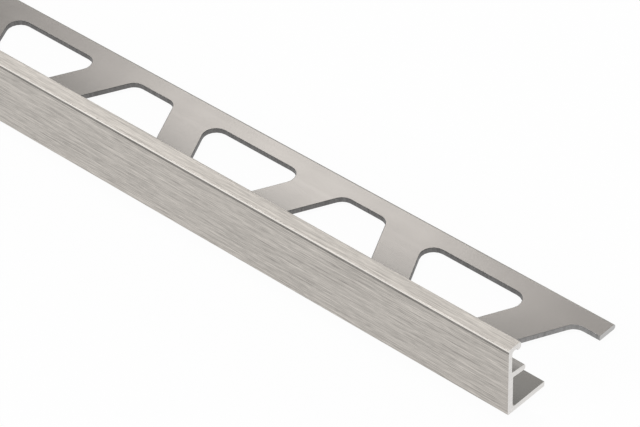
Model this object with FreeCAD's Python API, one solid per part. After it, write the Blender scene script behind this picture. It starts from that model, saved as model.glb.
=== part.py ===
import FreeCAD, Part
import math
import os

# Tile edge trim: one extruded aluminium profile with a row of holes punched through its leg.
# Millimetres. X runs along the trim, Y runs from the visible front face to the back edge of the
# leg, and Z runs up from the underside of the leg. The origin is the middle of the underside.

# Overall sizes
trim_length = 1000.0
trim_height = 13.5
leg_depth = 27.0
leg_thickness = 1.0

# Wall behind the visible face: it is thicker below the rib than above it
upper_wall_thickness = 0.85
lower_wall_thickness = 1.15

# Lip over the tile's edge, with a bead hanging from its tip
lip_depth = 2.95
lip_thickness = 0.85
bead_width = 0.9
bead_drop = 0.45

# Rib that spaces the tile off the wall; it leans down away from the wall
rib_drop = 5.15
rib_thickness = 1.05
rib_reach = 4.1
rib_lean_degrees = 5.5

# Shallow groove along the top of the visible face, which draws the line under the bright edge
groove_below_top = 0.45
groove_width = 0.3
groove_depth = 0.1

# Roundings of the section
front_top_radius = 0.35
front_bottom_radius = 0.25
leg_edge_radius = 0.45
leg_corner_radius = 0.6
rib_tip_radius = 0.35
rib_root_radius = 0.15
lip_tip_radius = 0.4
lip_hollow_radius = 0.55
groove_edge_radius = 0.05

# Punched holes: four-sided, alternately turned round, so that slanting webs stay between them
hole_pitch = 25.0
hole_depth = 14.0
hole_narrow_side = 9.6
hole_wide_side = 23.6
hole_corner_radius = 2.4
edge_strip_width = 4.0
end_to_first_hole_centre = 0.0

# Roundings that share a side shrink together where they would fill more than this share of it
largest_rounded_share = 0.98

# A punch runs this far past both faces of the leg
punch_overrun = 1.0


def rounded_wire(corners, to_point):
    """Return a closed wire through corners of (u, v, radius), each rounded by its own radius."""
    count = len(corners)
    points = [FreeCAD.Vector(u, v, 0) for u, v, radius in corners]
    half_angles = []
    wanted = []
    for index in range(count):
        to_before = points[index - 1] - points[index]
        to_after = points[(index + 1) % count] - points[index]
        half_angles.append(to_before.getAngle(to_after) / 2)
        wanted.append(corners[index][2] / math.tan(half_angles[index]))
    room = []
    for index in range(count):
        after = (index + 1) % count
        side = points[index].distanceToPoint(points[after])
        room.append(largest_rounded_share * side / (wanted[index] + wanted[after]))
    starts = []
    middles = []
    ends = []
    for index in range(count):
        corner = points[index]
        tangent = wanted[index] * min(1, room[index - 1], room[index])
        radius = tangent * math.tan(half_angles[index])
        to_before = (points[index - 1] - corner).normalize()
        to_after = (points[(index + 1) % count] - corner).normalize()
        inwards = (to_before + to_after).normalize()
        starts.append(to_point(corner + to_before * tangent))
        middles.append(to_point(corner + inwards * (radius / math.sin(half_angles[index]) - radius)))
        ends.append(to_point(corner + to_after * tangent))
    edges = []
    for index in range(count):
        edges.append(Part.Arc(starts[index], middles[index], ends[index]).toShape())
        edges.append(Part.LineSegment(ends[index], starts[(index + 1) % count]).toShape())
    return Part.Wire(edges)


def section_corners():
    """Return the section's corners as (distance from the front face, height, radius)."""
    lip_underside = trim_height - lip_thickness
    bead_bottom = lip_underside - bead_drop
    bead_front = lip_depth - bead_width
    lean = math.tan(math.radians(rib_lean_degrees))
    rib_top = trim_height - rib_drop
    rib_upright_thickness = rib_thickness / math.cos(math.radians(rib_lean_degrees))
    groove_top = trim_height - groove_below_top

    def rib_top_at(y):
        return rib_top - lean * (y - upper_wall_thickness)

    def rib_bottom_at(y):
        return rib_top_at(y) - rib_upright_thickness

    return [
        (0, 0, front_bottom_radius),
        (leg_depth, 0, leg_edge_radius),
        (leg_depth, leg_thickness, leg_edge_radius),
        (lower_wall_thickness, leg_thickness, leg_corner_radius),
        (lower_wall_thickness, rib_bottom_at(lower_wall_thickness), rib_root_radius),
        (rib_reach, rib_bottom_at(rib_reach), rib_tip_radius),
        (rib_reach, rib_top_at(rib_reach), rib_tip_radius),
        (upper_wall_thickness, rib_top, rib_root_radius),
        (upper_wall_thickness, lip_underside, lip_hollow_radius),
        (bead_front, lip_underside, lip_tip_radius),
        (bead_front, bead_bottom, lip_tip_radius),
        (lip_depth, bead_bottom, lip_tip_radius),
        (lip_depth, trim_height, lip_tip_radius),
        (0, trim_height, front_top_radius),
        (0, groove_top, groove_edge_radius),
        (groove_depth, groove_top - groove_width / 2, groove_edge_radius),
        (0, groove_top - groove_width, groove_edge_radius),
    ]


def extruded_profile():
    """Return the bare profile, sawn square at both ends."""
    def to_point(flat):
        return FreeCAD.Vector(-trim_length / 2, flat.x - leg_depth / 2, flat.y)

    section = Part.Face(rounded_wire(section_corners(), to_point))
    return section.extrude(FreeCAD.Vector(trim_length, 0, 0))


def punch(centre_x, wide_side_at_back):
    """Return the body that one stroke of the punch removes."""
    back_y = leg_depth / 2 - edge_strip_width
    front_y = back_y - hole_depth
    back_half = (hole_wide_side if wide_side_at_back else hole_narrow_side) / 2
    front_half = (hole_narrow_side if wide_side_at_back else hole_wide_side) / 2
    corners = [
        (centre_x - front_half, front_y, hole_corner_radius),
        (centre_x + front_half, front_y, hole_corner_radius),
        (centre_x + back_half, back_y, hole_corner_radius),
        (centre_x - back_half, back_y, hole_corner_radius),
    ]

    def to_point(flat):
        return FreeCAD.Vector(flat.x, flat.y, -punch_overrun)

    outline = Part.Face(rounded_wire(corners, to_point))
    return outline.extrude(FreeCAD.Vector(0, 0, leg_thickness + 2 * punch_overrun))


def punches():
    """Return every punch along the leg, also those that the two saw cuts pass through."""
    bodies = []
    first_x = trim_length / 2 - end_to_first_hole_centre
    reach = hole_wide_side / 2
    lowest = math.ceil((first_x - trim_length / 2 - reach) / hole_pitch)
    highest = math.floor((first_x + trim_length / 2 + reach) / hole_pitch)
    for number in range(lowest, highest + 1):
        wide_side_at_back = number % 2 == 1
        bodies.append(punch(first_x - number * hole_pitch, wide_side_at_back))
    return bodies


def edge_trim():
    return extruded_profile().cut(punches())


os.makedirs("parts", exist_ok=True)
edge_trim().exportStep("parts/edge_trim.step")
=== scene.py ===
import math

import bmesh
import bpy
import numpy as np
from mathutils import Matrix, Vector


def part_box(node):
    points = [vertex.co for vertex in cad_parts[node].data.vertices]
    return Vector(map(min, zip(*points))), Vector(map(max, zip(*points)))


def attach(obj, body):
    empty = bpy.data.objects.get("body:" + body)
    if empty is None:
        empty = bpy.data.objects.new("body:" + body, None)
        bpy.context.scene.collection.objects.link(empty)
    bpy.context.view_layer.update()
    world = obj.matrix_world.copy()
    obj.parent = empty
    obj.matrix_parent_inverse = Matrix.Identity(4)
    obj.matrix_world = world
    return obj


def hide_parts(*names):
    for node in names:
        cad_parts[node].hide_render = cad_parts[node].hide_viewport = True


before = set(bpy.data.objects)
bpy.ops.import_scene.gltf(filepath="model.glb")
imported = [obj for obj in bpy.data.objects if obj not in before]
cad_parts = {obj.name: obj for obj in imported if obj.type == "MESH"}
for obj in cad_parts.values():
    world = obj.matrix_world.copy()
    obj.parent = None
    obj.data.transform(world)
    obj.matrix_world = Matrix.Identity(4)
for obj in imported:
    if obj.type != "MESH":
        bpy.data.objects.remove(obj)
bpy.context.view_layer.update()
print("frame loaded")

mm = 0.001
samePlace = 1e-9  # places closer than this are one, in metres
placeDigits = 9  # and stations are rounded to as many digits
mergeDistance = 1e-7
scene = bpy.context.scene


# The trim: sizes of its section and its holes

trim = {
    "legThickness": 1.0 * mm,
    "upperWall": 0.85 * mm,
    "lowerWall": 1.15 * mm,
    "lipDepth": 2.95 * mm,
    "lipThickness": 0.85 * mm,
    "beadWidth": 0.9 * mm,
    "beadDrop": 0.45 * mm,
    "ribDrop": 5.15 * mm,
    "ribThickness": 1.05 * mm,
    "ribReach": 4.1 * mm,
    "ribLean": math.radians(5.5),
    "grooveBelowTop": 0.46 * mm,
    "grooveWidth": 0.4 * mm,
    "grooveDepth": 0.1 * mm,
    "holePitch": 25.0 * mm,
    "holeDepth": 14.0 * mm,
    "narrowSide": 9.6 * mm,
    "wideSide": 23.6 * mm,
    "holeRadius": 2.4 * mm,
    "edgeStrip": 4.0 * mm,
    "punchedEdge": 0.1 * mm,  # the punch rolls the hole's edges over by this much
    "cellMargin": 0.7 * mm,  # the sheet round a hole is gridded this far past it
    "arcSteps": 6,
    "edgeSteps": 3,
    "hold": 0.03 * mm,  # flat facet beside each arc, which keeps the flats' shading flat
    "roundedShare": 0.98,  # roundings that share a side fill at most this share of it
    "sharpFrom": math.radians(35),  # edges that turn by more than this are drawn sharp
    "radii": {
        "frontBottom": 0.25 * mm,
        "legEdge": 0.45 * mm,
        "legCorner": 0.6 * mm,
        "ribRoot": 0.15 * mm,
        "ribTip": 0.35 * mm,
        "lipHollow": 0.55 * mm,
        "lipTip": 0.4 * mm,
        "frontTop": 0.06 * mm,
        "groove": 0.05 * mm,
    },
}
finishes = ["brushed", "lip", "edge", "satin", "extruded", "groove", "punched", "openWall", "sawn"]
lowest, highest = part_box("edge_trim")
trimLength = highest.x - lowest.x
trimHeight = highest.z
legDepth = highest.y - lowest.y


def unit(vectors):
    return vectors / np.linalg.norm(vectors, axis=-1, keepdims=True)


# Rounds every corner of a closed outline. With unit vectors a and b from a corner p to its
# neighbours and h half the angle between them, the arc of radius r starts at p + a r / tan h,
# and its centre is m = p + unit(a + b) r / sin h. At share s of its turn t a point of the arc is
# m + r (sin((1 - s) t) first + sin(s t) last) / sin t, with first and last the unit rays from m to
# its ends. Roundings that share a side shrink together where the side is too short for both.
# Each corner gives: a held facet, the arc, a held facet, and the middle of the side that follows.
def roundedOutline(corners):
    arcSteps, hold = trim["arcSteps"], trim["hold"]
    corners = np.asarray(corners, float)
    points, radii = corners[:, :2], corners[:, 2]
    side = np.linalg.norm(np.roll(points, -1, 0) - points, axis=1)
    toBefore = unit(np.roll(points, 1, 0) - points)
    toAfter = unit(np.roll(points, -1, 0) - points)
    halfAngle = np.arccos((toBefore * toAfter).sum(1)) / 2
    wanted = radii / np.tan(halfAngle)
    room = np.minimum(1, trim["roundedShare"] * side / (wanted + np.roll(wanted, -1)))
    tangent = wanted * np.minimum(room, np.roll(room, 1))
    radius = tangent * np.tan(halfAngle)
    start = points + toBefore * tangent[:, None]
    end = points + toAfter * tangent[:, None]
    centre = points + unit(toBefore + toAfter) * (radius / np.sin(halfAngle))[:, None]
    turn = (np.pi - 2 * halfAngle)[:, None, None]
    share = np.linspace(0, 1, arcSteps + 1)[None, :, None]
    first = unit(start - centre)[:, None]
    last = unit(end - centre)[:, None]
    ray = (np.sin((1 - share) * turn) * first + np.sin(share * turn) * last) / np.sin(turn)
    arc = centre[:, None] + radius[:, None, None] * ray
    straight = side - tangent - np.roll(tangent, -1)
    held = np.minimum(hold, straight / 4)  # short sides keep room for both facets
    heldStart = start + toBefore * np.roll(held, 1)[:, None]
    heldEnd = end + toAfter * held[:, None]
    middle = (end + np.roll(start, -1, 0)) / 2
    groups = np.concatenate([heldStart[:, None], arc, heldEnd[:, None], middle[:, None]], axis=1)
    outward = np.stack([toAfter[:, 1], -toAfter[:, 0]], axis=1)
    before = np.roll(outward, 1, 0)[:, None]
    normals = np.concatenate([before, ray, outward[:, None], outward[:, None]], axis=1)
    return groups, normals


# Corners of the section: distance from the front face, height, radius, the finish of the
# corner and the finish of the side that follows it
def sectionCorners():
    t = trim
    underLip = trimHeight - t["lipThickness"]
    beadBottom = underLip - t["beadDrop"]
    beadFront = t["lipDepth"] - t["beadWidth"]
    ribTop = trimHeight - t["ribDrop"]
    ribHeight = t["ribThickness"] / math.cos(t["ribLean"])
    grooveTop = trimHeight - t["grooveBelowTop"]
    reach, upper, lower = t["ribReach"], t["upperWall"], t["lowerWall"]

    def ribTopAt(y):
        return ribTop - math.tan(t["ribLean"]) * (y - upper)

    return [
        (legDepth, 0, "legEdge", "extruded", "extruded"),
        (legDepth, t["legThickness"], "legEdge", "extruded", "satin"),
        (lower, t["legThickness"], "legCorner", "extruded", "extruded"),
        (lower, ribTopAt(lower) - ribHeight, "ribRoot", "extruded", "extruded"),
        (reach, ribTopAt(reach) - ribHeight, "ribTip", "extruded", "extruded"),
        (reach, ribTopAt(reach), "ribTip", "extruded", "extruded"),
        (upper, ribTop, "ribRoot", "extruded", "extruded"),
        (upper, underLip, "lipHollow", "extruded", "extruded"),
        (beadFront, underLip, "lipTip", "extruded", "extruded"),
        (beadFront, beadBottom, "lipTip", "extruded", "extruded"),
        (t["lipDepth"], beadBottom, "lipTip", "extruded", "extruded"),
        (t["lipDepth"], trimHeight, "lipTip", "lip", "lip"),
        (0, trimHeight, "frontTop", "lip", "edge"),
        (0, grooveTop, "groove", "groove", "groove"),
        (t["grooveDepth"], grooveTop - t["grooveWidth"] / 2, "groove", "groove", "groove"),
        (0, grooveTop - t["grooveWidth"], "groove", "groove", "brushed"),
        (0, 0, "frontBottom", "brushed", "satin"),
    ]


# Outline of every hole in plan and the outline of the sheet round it, both counterclockwise.
# A hole's half width changes evenly from its front to its back side. The sheet's side lines run
# half way between neighbouring holes: x = centre -+ (pitch / 2 + lean (y - middle)).
def holeCells(count, groupSize):
    t = trim
    back = legDepth - t["edgeStrip"]
    front = back - t["holeDepth"]
    slope = (t["wideSide"] - t["narrowSide"]) / 2 / t["holeDepth"]
    inner, innerNormals, outer = [], [], []
    for direction in (-1, 1):  # narrow side at the back, then wide side at the back
        backHalf = (t["narrowSide"] if direction < 0 else t["wideSide"]) / 2
        frontHalf = (t["wideSide"] if direction < 0 else t["narrowSide"]) / 2
        holeCorners = [(-frontHalf, front), (frontHalf, front),
                       (backHalf, back), (-backHalf, back)]
        groups, normals = roundedOutline([(x, y, t["holeRadius"]) for x, y in holeCorners])
        inner.append(groups.reshape(-1, 2))
        innerNormals.append(normals.reshape(-1, 2))
        low, high = front - t["cellMargin"], back + t["cellMargin"]
        lowHalf = t["holePitch"] / 2 + direction * slope * (low - (front + back) / 2)
        highHalf = t["holePitch"] / 2 + direction * slope * (high - (front + back) / 2)
        quad = np.array([(-lowHalf, low), (lowHalf, low), (highHalf, high), (-highHalf, high)])
        # each corner of the sheet faces the middle of the arc at the hole's corner
        place = (np.arange(4 * groupSize) - (1 + t["arcSteps"] // 2)) % (4 * groupSize)
        corner, share = place // groupSize, (place % groupSize / groupSize)[:, None]
        outer.append(quad[corner] * (1 - share) + quad[(corner + 1) % 4] * share)
    kind = np.arange(count) % 2
    centres = trimLength / 2 - np.arange(count) * t["holePitch"]
    offset = np.stack([centres, np.zeros(count)], axis=1)[:, None]

    def placed(outlines):  # the first point again at the end closes the ring
        ring = np.array(outlines)[kind]
        return np.concatenate([ring, ring[:, :1]], axis=1)

    return placed(inner) + offset, placed(innerNormals), placed(outer) + offset


# Grids of points to mesh data: a grid has any number of leading axes and two of its own
def gridSheet(points, uv, finish):
    shape = points.shape[:-1]
    index = np.arange(np.prod(shape)).reshape(shape)
    corners = [index[..., :-1, :-1], index[..., 1:, :-1], index[..., 1:, 1:], index[..., :-1, 1:]]
    quads = np.stack(corners, axis=-1).reshape(-1, 4)
    finish = np.broadcast_to(finish, corners[0].shape).reshape(-1)
    return points.reshape(-1, 3), quads, uv.reshape(-1, 2)[quads].reshape(-1, 2), finish


# The whole trim as one closed mesh: the section carried along X in front of the holes and behind
# them, a sheet round every hole that turns down its edge, and a flat cap on each sawn end
def buildTrim():
    t = trim
    corners = sectionCorners()
    groups = roundedOutline([(y, z, t["radii"][name]) for y, z, name, *finish in corners])[0]
    groupSize = groups.shape[1]
    count = round(trimLength / t["holePitch"]) + 1
    inner, innerNormals, outer = holeCells(count, groupSize)
    frontMid, backMid = groupSize - 1, 3 * groupSize - 1  # middles of a ring's front and back side

    # Section behind the holes and section in front of them, both as open lines
    cornerFinish = np.array([finishes.index(corner[3]) for corner in corners])
    sideFinish = np.array([finishes.index(corner[4]) for corner in corners])
    spanFinish = np.repeat(cornerFinish[:, None], groupSize, axis=1)
    spanFinish[:, -2:] = sideFinish[:, None]
    backY, frontY = outer[0, backMid, 1], outer[0, frontMid, 1]
    legTop = t["legThickness"]
    backLine = np.vstack([[backY, 0], groups[:2].reshape(-1, 2)[:-1], [backY, legTop]])
    frontLine = np.vstack([[frontY, legTop], groups[2:].reshape(-1, 2)[:-1], [frontY, 0]])
    satin = finishes.index("satin")
    backFinish = np.concatenate([[satin], spanFinish[:2].reshape(-1)[:-1]])
    frontFinish = np.concatenate([[satin], spanFinish[2:].reshape(-1)[:-1]])

    # Stations along X are the corners of the sheets round the holes
    ringX, ringY = outer[:, :-1, 0], outer[:, :-1, 1]
    frontX = np.unique(np.round(ringX[ringY < frontY + samePlace], placeDigits))
    backX = np.unique(np.round(ringX[ringY > backY - samePlace], placeDigits))
    carried = ((backLine, backX, backFinish), (frontLine, frontX, frontFinish))
    sheets = []
    for line, stations, finish in carried:
        stations = stations[np.abs(stations) < trimLength / 2 + samePlace]
        x, y = np.meshgrid(stations, line[:, 0], indexing="ij")
        z = np.broadcast_to(line[:, 1], x.shape)
        run = np.concatenate([[0], np.cumsum(np.linalg.norm(np.diff(line, axis=0), axis=1))])
        uv = np.stack([x, np.broadcast_to(run, x.shape)], axis=-1)
        sheets.append(gridSheet(np.stack([x, y, z], axis=-1), uv, finish))

    # Edge of a hole: out of the sheet, over the rolled edge, down the punched wall and back out
    roll, hold = t["punchedEdge"], t["hold"]
    angle = np.linspace(0, np.pi / 2, t["edgeSteps"] + 1)
    topOut = np.concatenate([[roll + hold], roll * (1 - np.sin(angle)), [0]])
    topZ = np.concatenate([[0], roll * (1 - np.cos(angle)), [roll + hold]])
    out = np.concatenate([topOut, topOut[::-1]])
    height = np.concatenate([legTop - topZ, topZ[::-1]])
    edge = inner[:, :, None] + innerNormals[:, :, None] * out[:, None]
    plan = np.concatenate([outer[:, :, None], edge, outer[:, :, None]], axis=2)
    z = np.broadcast_to(np.concatenate([[legTop], height, [0]]), plan.shape[:-1])
    cells = np.concatenate([plan, z[..., None]], axis=-1)
    wall = np.full(cells.shape[2] - 1, finishes.index("punched"))
    wall[[0, 1, -2, -1]] = satin  # the sheet and its facet, on top and underneath
    openWall = np.where(wall == satin, satin, finishes.index("openWall"))  # painted light: these walls take a lighter colour, for the light that comes in through the sawn end
    nearHalf = np.r_[backMid:4 * groupSize, 0:frontMid + 1]
    farHalf = np.r_[frontMid:backMid + 1]
    parts = ((cells[:1, nearHalf], openWall), (cells[1:-1], wall), (cells[-1:, farHalf], openWall))
    for part, finish in parts:
        uv = np.stack([part[..., 0], part[..., 1] - part[..., 2]], axis=-1)
        sheets.append(gridSheet(part, uv, finish))

    # Caps: the line of the section, closed by the edge of the hole that the saw passes through
    caps = []
    for x, cell in ((trimLength / 2, cells[0]), (-trimLength / 2, cells[-1])):
        for line, mid, way in ((frontLine, frontMid, -1), (backLine, backMid, 1)):
            outline = np.vstack([line, cell[mid, ::way, 1:][1:-1]])
            caps.append(np.hstack([np.full((len(outline), 1), x), outline]))

    return joinSheets(sheets, caps)


def joinSheets(sheets, caps):
    points, faces, uvs, finish = [], [], [], []
    total = 0
    for sheetPoints, quads, uv, sheetFinish in sheets:
        points.append(sheetPoints)
        faces += (quads + total).tolist()
        uvs.append(uv)
        finish.append(sheetFinish)
        total += len(sheetPoints)
    for cap in caps:
        points.append(cap)
        faces.append(list(range(total, total + len(cap))))
        uvs.append(cap[:, 1:])
        finish.append([finishes.index("sawn")])
        total += len(cap)
    vertices = np.concatenate(points) + np.array([0, lowest.y, 0])
    mesh = bpy.data.meshes.new("fineTrim")
    mesh.from_pydata(vertices.tolist(), [], faces)
    layer = mesh.uv_layers.new(name="alongTrim")
    layer.data.foreach_set("uv", np.concatenate(uvs).astype(np.float32).ravel())
    mesh.polygons.foreach_set("material_index", np.concatenate(finish).astype(np.int32))
    work = bmesh.new()
    work.from_mesh(mesh)
    bmesh.ops.remove_doubles(work, verts=work.verts, dist=mergeDistance)
    bmesh.ops.recalc_face_normals(work, faces=work.faces)
    openEdges = sum(not edge.is_manifold for edge in work.edges)
    print("trim mesh:", len(work.verts), "points,", len(work.faces), "faces,",
          openEdges, "open edges, volume mm3", round(work.calc_volume() / mm**3, 1))
    work.to_mesh(mesh)
    work.free()
    mesh.polygons.foreach_set("use_smooth", [True] * len(mesh.polygons))
    mesh.set_sharp_from_angle(angle=trim["sharpFrom"])
    piece = bpy.data.objects.new("fineTrim", mesh)
    scene.collection.objects.link(piece)
    return piece


fineTrim = buildTrim()


# Finishes

def nodeGroup(name, inputs, outputs):
    group = bpy.data.node_groups.new(name, "ShaderNodeTree")
    for label, kind, value in inputs:
        socket = group.interface.new_socket(name=label, in_out="INPUT", socket_type=kind)
        if value is not None:
            socket.default_value = value
    for label, kind in outputs:
        group.interface.new_socket(name=label, in_out="OUTPUT", socket_type=kind)
    return group, group.nodes.new("NodeGroupInput"), group.nodes.new("NodeGroupOutput")


def addNode(tree, kind, **values):
    node = tree.nodes.new(kind)
    for key, value in values.items():
        if key.startswith("in_"):
            name = key[3:].replace("_", " ")
            node.inputs[int(name) if name.isdigit() else name].default_value = value
        else:
            setattr(node, key, value)
    return node


# Each layer: how many times narrower and shorter than the line asked for, and its share
hairlineLayers = [(1.0, 1.0, 0.55), (1.5, 3.6, 0.41), (0.37, 0.45, 0.04)]
rowShift = (0, 3.37, 5.71)  # takes each row to a place of its own in the noise
broadScale = 0.37  # the slow noise is this many times as fine as the lines


# Straight lines along X: the point's Y and Z are cut into rows of the line's width, and along each
# row runs its own noise of the line's length. Three layers of rows are summed, and a slow,
# unbroken noise goes out beside them.
def hairlineGroup():
    group, given, result = nodeGroup(
        "hairlines",
        [("Point", "NodeSocketVector", None), ("Line Length", "NodeSocketFloat", 10 * mm),
         ("Line Width", "NodeSocketFloat", 0.3 * mm)],
        [("Lines", "NodeSocketFloat"), ("Broad", "NodeSocketFloat")],
    )
    size = addNode(group, "ShaderNodeCombineXYZ")
    group.links.new(given.outputs["Line Length"], size.inputs["X"])
    group.links.new(given.outputs["Line Width"], size.inputs["Y"])
    group.links.new(given.outputs["Line Width"], size.inputs["Z"])
    divided = addNode(group, "ShaderNodeVectorMath", operation="DIVIDE")
    group.links.new(given.outputs["Point"], divided.inputs[0])
    group.links.new(size.outputs[0], divided.inputs[1])
    total = None
    for across, along, share in hairlineLayers:
        scaled = addNode(group, "ShaderNodeVectorMath", operation="MULTIPLY",
                         in_1=(along, across, across))
        group.links.new(divided.outputs[0], scaled.inputs[0])
        rows = addNode(group, "ShaderNodeVectorMath", operation="FLOOR")
        group.links.new(scaled.outputs[0], rows.inputs[0])
        spread = addNode(group, "ShaderNodeVectorMath", operation="MULTIPLY", in_1=rowShift)
        group.links.new(rows.outputs[0], spread.inputs[0])
        onwards = addNode(group, "ShaderNodeVectorMath", operation="MULTIPLY_ADD",
                          in_1=(1, 0, 0))  # X runs on, and Y and Z come from the row alone
        group.links.new(scaled.outputs[0], onwards.inputs[0])
        group.links.new(spread.outputs[0], onwards.inputs[2])
        noise = addNode(group, "ShaderNodeTexNoise", in_Scale=1.0, in_Detail=1.0, in_Roughness=0.5)
        group.links.new(onwards.outputs[0], noise.inputs["Vector"])
        weighed = addNode(group, "ShaderNodeMath", operation="MULTIPLY_ADD", in_1=share, in_2=0.0)
        group.links.new(noise.outputs["Fac"], weighed.inputs[0])
        if total:
            group.links.new(total, weighed.inputs[2])
        total = weighed.outputs[0]
    broad = addNode(group, "ShaderNodeTexNoise", in_Scale=broadScale, in_Detail=1.0)
    group.links.new(divided.outputs[0], broad.inputs["Vector"])
    group.links.new(total, result.inputs["Lines"])
    group.links.new(broad.outputs["Fac"], result.inputs["Broad"])
    return group


# Soft cloudy change of tone, as anodising has
def mottleGroup():
    group, given, result = nodeGroup(
        "softMottle",
        [("Point", "NodeSocketVector", None), ("Size", "NodeSocketFloat", 20 * mm)],
        [("Mottle", "NodeSocketFloat")],
    )
    scale = addNode(group, "ShaderNodeMath", operation="DIVIDE", in_0=1.0)
    group.links.new(given.outputs["Size"], scale.inputs[1])
    noise = addNode(group, "ShaderNodeTexNoise", in_Detail=3.0, in_Roughness=0.5)
    group.links.new(given.outputs["Point"], noise.inputs["Vector"])
    group.links.new(scale.outputs[0], noise.inputs["Scale"])
    group.links.new(noise.outputs["Fac"], result.inputs["Mottle"])
    return group


hairlines = hairlineGroup()
softMottle = mottleGroup()


def placeGroup(tree, group, point, **values):
    node = tree.nodes.new("ShaderNodeGroup")
    node.node_tree = group
    for key, value in values.items():
        node.inputs[key.replace("_", " ")].default_value = value
    tree.links.new(point, node.inputs["Point"])
    return node


noiseLow, noiseHigh = 0.3, 0.7  # nearly all of a noise texture lies between these


def ranged(tree, value, low, high):
    node = addNode(tree, "ShaderNodeMapRange", in_From_Min=noiseLow, in_From_Max=noiseHigh,
                   in_To_Min=low, in_To_Max=high)
    tree.links.new(value, node.inputs["Value"])
    return node.outputs["Result"]


def blended(tree, value, dark, light):
    mix = addNode(tree, "ShaderNodeMix", data_type="RGBA")
    tree.links.new(ranged(tree, value, 0.0, 1.0), mix.inputs["Factor"])
    mix.inputs["A"].default_value = (*dark, 1)
    mix.inputs["B"].default_value = (*light, 1)
    return mix.outputs["Result"]


brushedLook = {
    "dark": (0.238, 0.224, 0.208),
    "light": (0.682, 0.642, 0.595),
    "lineLength": 7 * mm,
    "lineWidth": 0.08 * mm,
    "roughness": (0.40, 0.46),
    "anisotropy": 0.5,
    "bump": 0.15,
    "bumpHeight": 0.01 * mm,
}
lipLook = {  # the lip's lines are fainter than the face's, and it shines a little less
    **brushedLook,
    "dark": (0.330, 0.310, 0.288),
    "light": (0.700, 0.660, 0.611),
    "roughness": (0.50, 0.56),
}
edgeHighlightLook = {  # the narrow band between the lip and the groove has a light colour: a painted highlight along the top edge
    **brushedLook,
    "dark": (0.720, 0.688, 0.650),
    "light": (0.860, 0.822, 0.776),
    "lineLength": 25 * mm,
    "lineWidth": 0.3 * mm,
    "bump": 0.02,
}
satinLook = {
    "dark": (0.560, 0.526, 0.493),
    "light": (0.618, 0.581, 0.545),
    "lineLength": 80 * mm,
    "lineWidth": 0.5 * mm,
    "metallic": 0.9,
    "roughness": (0.20, 0.22),
    "fadeFrom": 10 * mm,  # between these two places, towards the wall, the leg's colour darkens: painted shade, where the wall, rib and lip keep light off the leg
    "fadeTo": -12 * mm,
    "fadeTone": (0.56, 0.575, 0.575),
    "mottleSize": 12 * mm,
    "bump": 0.04,
    "bumpHeight": 0.005 * mm,
}
extrudedLook = {
    "dark": (0.310, 0.298, 0.283),
    "light": (0.460, 0.442, 0.419),
    "lineLength": 30 * mm,
    "lineWidth": 0.3 * mm,
    "roughness": (0.56, 0.64),
    "bump": 0.1,
    "bumpHeight": 0.005 * mm,
}
# the groove's dark colour is painted shade: the dark line that shade in the groove would give
grooveLook = {
    "dark": (0.16, 0.152, 0.140),
    "light": (0.24, 0.228, 0.212),
    "lineLength": 10 * mm,
    "lineWidth": 0.3 * mm,
    "roughness": (0.5, 0.6),
}
punchedLook = {
    "dark": (0.12, 0.117, 0.115),
    "light": (0.24, 0.234, 0.231),
    "roughness": (0.45, 0.6),
    "lineLength": 1.5 * mm,
    "lineWidth": 0.12 * mm,
    "bump": 0.3,
    "bumpHeight": 0.01 * mm,
}
openWallPaintedLightLook = {  # the walls of the half holes at the sawn ends, lighter than the other holes' walls: painted light, for the light that comes in through the open end
    **punchedLook,
    "dark": (0.21, 0.207, 0.205),
    "light": (0.38, 0.373, 0.37),
}
sawnLook = {
    "dark": (0.69, 0.674, 0.656),
    "light": (0.81, 0.790, 0.768),
    "roughness": (0.4, 0.5),
    "fadeFrom": 3 * mm,  # the cut's colour is darker across the strip behind the holes
    "fadeTo": 9 * mm,
    "fadeTone": (0.67, 0.68, 0.69),
    "lineLength": 4 * mm,
    "lineWidth": 0.15 * mm,
    "bump": 0.2,
    "bumpHeight": 0.006 * mm,
}


# Darkens a colour from one place across the trim to another, by a soft step along Y. On the leg
# this is painted shade towards the wall; on the sawn ends it darkens the strip behind the holes.
def faded(tree, place, colour, look):
    apart = addNode(tree, "ShaderNodeSeparateXYZ")
    tree.links.new(place.outputs["Object"], apart.inputs["Vector"])
    fade = addNode(tree, "ShaderNodeMapRange", interpolation_type="SMOOTHSTEP",
                   in_From_Min=look["fadeFrom"], in_From_Max=look["fadeTo"])
    tree.links.new(apart.outputs["Y"], fade.inputs["Value"])
    darker = addNode(tree, "ShaderNodeMix", data_type="RGBA", blend_type="MULTIPLY")
    darker.inputs["B"].default_value = (*look["fadeTone"], 1)
    tree.links.new(fade.outputs["Result"], darker.inputs["Factor"])
    tree.links.new(colour, darker.inputs["A"])
    return darker.outputs["Result"]


quarterTurn = 0.25  # the highlight's turn is given as a share of a full one


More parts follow.
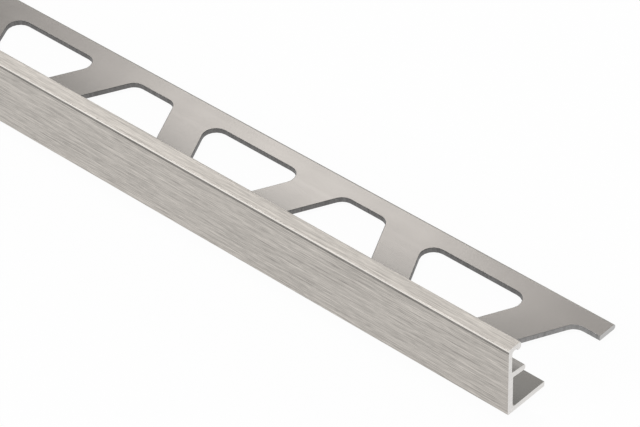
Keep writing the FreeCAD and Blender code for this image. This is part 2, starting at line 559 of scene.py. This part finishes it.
# A metal with lines along one direction, onto which turn rotates the object's own X axis
def linedMetal(name, look, turn=(0, 0, 0)):
    material = bpy.data.materials.new(name)
    material.use_nodes = True
    tree = material.node_tree
    shader = tree.nodes["Principled BSDF"]
    shader.inputs["Metallic"].default_value = look.get("metallic", 1.0)
    place = addNode(tree, "ShaderNodeTexCoord")
    turned = addNode(tree, "ShaderNodeMapping", in_Rotation=turn)
    tree.links.new(place.outputs["Object"], turned.inputs["Vector"])
    point = turned.outputs["Vector"]
    grain = placeGroup(tree, hairlines, point,
                       Line_Length=look["lineLength"], Line_Width=look["lineWidth"])
    tone = grain.outputs["Lines"]
    if "mottleSize" in look:
        tone = placeGroup(tree, softMottle, point, Size=look["mottleSize"]).outputs["Mottle"]
    colour = blended(tree, tone, look["dark"], look["light"])
    if "fadeTone" in look:
        colour = faded(tree, place, colour, look)
    tree.links.new(colour, shader.inputs["Base Color"])
    roughness = ranged(tree, grain.outputs["Broad"], *look["roughness"])
    tree.links.new(roughness, shader.inputs["Roughness"])
    if "bump" in look:
        bump = addNode(tree, "ShaderNodeBump",
                       in_Strength=look["bump"], in_Distance=look["bumpHeight"])
        tree.links.new(grain.outputs["Lines"], bump.inputs["Height"])
        tree.links.new(bump.outputs["Normal"], shader.inputs["Normal"])
    if "anisotropy" in look:
        shader.inputs["Anisotropic"].default_value = look["anisotropy"]
        shader.inputs["Anisotropic Rotation"].default_value = quarterTurn
        tangent = addNode(tree, "ShaderNodeTangent", direction_type="UV_MAP", uv_map="alongTrim")
        tree.links.new(tangent.outputs["Tangent"], shader.inputs["Tangent"])
    return material


downWall = (0, math.radians(90), 0)
acrossEnd = (0, 0, math.radians(90))
materials = {
    "brushed": linedMetal("brushedNickel", brushedLook),
    "lip": linedMetal("brushedLip", lipLook),
    "edge": linedMetal("paintedHighlightEdge", edgeHighlightLook),
    "satin": linedMetal("satinNickel", satinLook),
    "extruded": linedMetal("extrudedNickel", extrudedLook),
    "groove": linedMetal("grooveShade", grooveLook),
    "punched": linedMetal("punchedWall", punchedLook, turn=downWall),
    "openWall": linedMetal("openWall", openWallPaintedLightLook, turn=downWall),
    "sawn": linedMetal("sawnEnd", sawnLook, turn=acrossEnd),
}
for name in finishes:
    fineTrim.data.materials.append(materials[name])
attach(fineTrim, "root")
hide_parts("edge_trim")
print("trim finished")


# Floor, lamps, world and camera

studio = {
    "floorSize": 12.0,
    "floorColour": (0.86, 0.86, 0.86),
    "floorRoughness": 0.9,
    "floorSpecular": 0.1,
    "whiteShare": 0.95,  # how far the floor that the camera and the metal see is lifted to white
    "worldColour": (0.37, 0.37, 0.37),
}
# Each lamp: direction towards it from the point that the camera aims at, distance and size in
# metres, power in watts
lamps = {
    "overhead": ((0.0, 0.0, 1.0), 2.5, (2.4, 2.4), 10),
    "overLip": ((-0.60, 0.09, 0.795), 2.5, (0.4, 1.2), 18),
    "backLeft": ((-0.566, 0.598, 0.568), 2.5, (0.38, 0.7), 0.8),
    "frontLeft": ((-0.48, -0.80, 0.345), 2.5, (1.0, 0.6), 22),
    "right": ((0.60, -0.62, 0.50), 2.5, (1.8, 1.8), 12),
    "behind": ((-0.10, 0.90, 0.40), 2.5, (1.6, 1.2), 14),
}
camera = {
    "aim": (449.4 * mm, -1.1 * mm, 6.0 * mm),
    "azimuth": 43.63,
    "elevation": 39.17,
    "distance": 491.1 * mm,
    "roll": -1.955,
    "lens": 166.9,
    "sensorWidth": 36,
    "nearest": 0.01,
    "farthest": 50,
}


def makeFloor():
    half = studio["floorSize"] / 2
    mesh = bpy.data.meshes.new("floor")
    corners = [(-half, -half, 0), (half, -half, 0), (half, half, 0), (-half, half, 0)]
    mesh.from_pydata(corners, [], [(0, 1, 2, 3)])
    floor = bpy.data.objects.new("floor", mesh)
    scene.collection.objects.link(floor)
    material = bpy.data.materials.new("paleFloor")
    material.use_nodes = True
    material.cycles.emission_sampling = "NONE"  # the white is only looked at, so it's no lamp
    tree = material.node_tree
    shader = tree.nodes["Principled BSDF"]
    shader.inputs["Base Color"].default_value = (*studio["floorColour"], 1)
    shader.inputs["Roughness"].default_value = studio["floorRoughness"]
    shader.inputs["Specular IOR Level"].default_value = studio["floorSpecular"]
    white = addNode(tree, "ShaderNodeEmission", in_Color=(1, 1, 1, 1), in_Strength=1.0)
    ray = addNode(tree, "ShaderNodeLightPath")
    seen = addNode(tree, "ShaderNodeMath", operation="ADD")
    either = addNode(tree, "ShaderNodeMath", operation="ADD", use_clamp=True)
    share = addNode(tree, "ShaderNodeMath", operation="MULTIPLY", in_1=studio["whiteShare"])
    mix = addNode(tree, "ShaderNodeMixShader")
    tree.links.new(ray.outputs["Is Camera Ray"], seen.inputs[0])
    tree.links.new(ray.outputs["Is Glossy Ray"], seen.inputs[1])
    tree.links.new(seen.outputs[0], either.inputs[0])
    tree.links.new(ray.outputs["Is Transmission Ray"], either.inputs[1])
    tree.links.new(either.outputs[0], share.inputs[0])
    tree.links.new(share.outputs[0], mix.inputs["Fac"])
    tree.links.new(shader.outputs["BSDF"], mix.inputs[1])
    tree.links.new(white.outputs["Emission"], mix.inputs[2])
    tree.links.new(mix.outputs["Shader"], tree.nodes["Material Output"].inputs["Surface"])
    mesh.materials.append(material)


def makeLamps():
    target = Vector(camera["aim"])
    for name, (direction, distance, size, power) in lamps.items():
        data = bpy.data.lights.new(name, "AREA")
        data.shape = "RECTANGLE"
        data.size, data.size_y = size
        data.energy = power
        lamp = bpy.data.objects.new(name, data)
        away = Vector(direction).normalized()
        lamp.location = target + away * distance
        lamp.rotation_euler = (-away).to_track_quat("-Z", "Y").to_euler()
        lamp.visible_camera = False
        scene.collection.objects.link(lamp)


def makeWorld():
    world = bpy.data.worlds.new("studio")
    world.use_nodes = True
    world.node_tree.nodes["Background"].inputs["Color"].default_value = (*studio["worldColour"], 1)
    world.node_tree.nodes["Background"].inputs["Strength"].default_value = 1.0
    scene.world = world


def makeCamera():
    data = bpy.data.cameras.new("camera")
    data.sensor_width = camera["sensorWidth"]
    data.lens = camera["lens"]
    data.clip_start = camera["nearest"]
    data.clip_end = camera["farthest"]
    eye = bpy.data.objects.new("camera", data)
    scene.collection.objects.link(eye)
    around, above = math.radians(camera["azimuth"]), math.radians(camera["elevation"])
    flat = math.cos(above)
    back = Vector((math.sin(around) * flat, -math.cos(around) * flat, math.sin(above)))
    level = (-back).to_track_quat("-Z", "Y").to_matrix().to_4x4()
    turn = level @ Matrix.Rotation(math.radians(camera["roll"]), 4, "Z")
    eye.matrix_world = Matrix.Translation(Vector(camera["aim"]) + back * camera["distance"]) @ turn
    scene.camera = eye


makeFloor()
makeLamps()
makeWorld()
makeCamera()
scene.view_settings.view_transform = "Standard"
print("stage ready")
